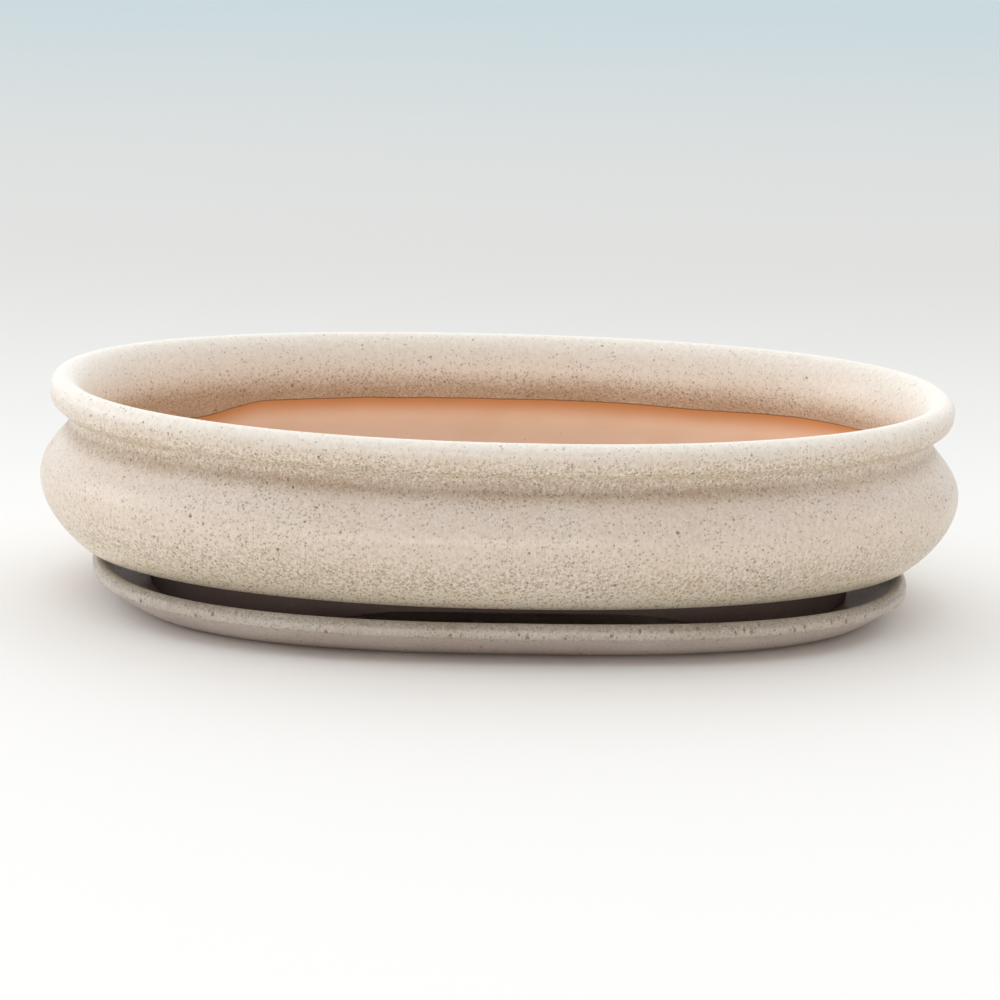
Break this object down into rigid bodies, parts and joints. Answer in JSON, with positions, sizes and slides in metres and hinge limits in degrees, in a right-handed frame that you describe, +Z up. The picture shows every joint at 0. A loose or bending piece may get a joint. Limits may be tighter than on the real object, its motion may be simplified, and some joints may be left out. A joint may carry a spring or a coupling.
{
  "type": "bonsai pot",
  "caption": "Low oval glazed bonsai pot with a rolled lip, a grooved neck, a bulging belly and a foot ring, standing in a matching oval saucer it lifts out of.",
  "frame": {"origin": "centre of the saucer's flat underside, on the table", "axes": "+X along the long way of the oval, +Y across it to the back, +Z up through the pot's mouth"},
  "size_m": [0.4, 0.264, 0.0937],
  "materials": {
    "pot_glaze": "satin cream glaze with fine dark iron specks outside and down to a line inside, bare peach clay below it",
    "foot_clay": "dark brown matt clay",
    "saucer_glaze": "satin cream to grey glaze with rust-brown specks along the rim"
  },
  "bodies": {
    "saucer": {"saucer": "saucer_glaze"},
    "pot": {"pot_body": "pot_glaze", "foot_ring": "foot_clay"}
  },
  "joints": [
    {"name": "pot_lift", "type": "slide", "parent": "saucer", "child": "pot", "axis": [0, 0, 1], "range_m": [0, 0.1]}
  ]
}
